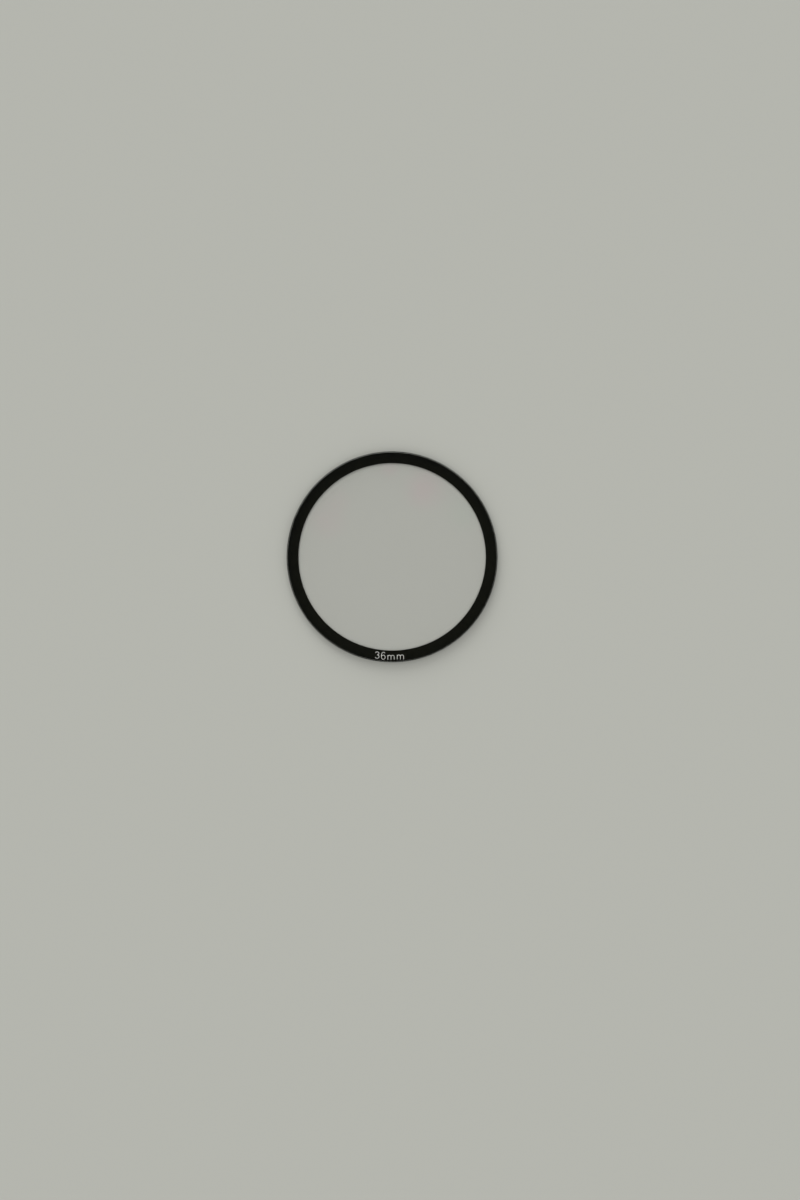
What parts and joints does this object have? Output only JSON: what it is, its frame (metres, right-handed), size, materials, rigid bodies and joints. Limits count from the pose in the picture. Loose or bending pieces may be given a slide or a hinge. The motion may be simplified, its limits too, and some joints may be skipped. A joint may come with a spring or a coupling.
{
  "type": "ultraviolet lens filter",
  "caption": "Thin round clear-glass ultraviolet filter with a black printed border, held by a ring of double-sided tape behind the border instead of a frame.",
  "frame": {"origin": "centre of the tape's rear face, the face that is stuck down and that the filter lies on", "axes": "+Z along the optical axis, out of the front of the glass; +Y towards the top of the filter, opposite the size mark on its border; +X to the right as seen from the front"},
  "size_m": [0.036, 0.036, 0.0012],
  "materials": {
    "coated_glass": "clear polished optical glass with an anti-reflection coating and a finely ground rim",
    "border_ink": "matte black screen-printed ink",
    "adhesive_tape": "black double-sided tape"
  },
  "bodies": {
    "root": {"filter_glass": "coated_glass", "border_print": "border_ink", "adhesive_ring": "adhesive_tape"}
  },
  "joints": []
}
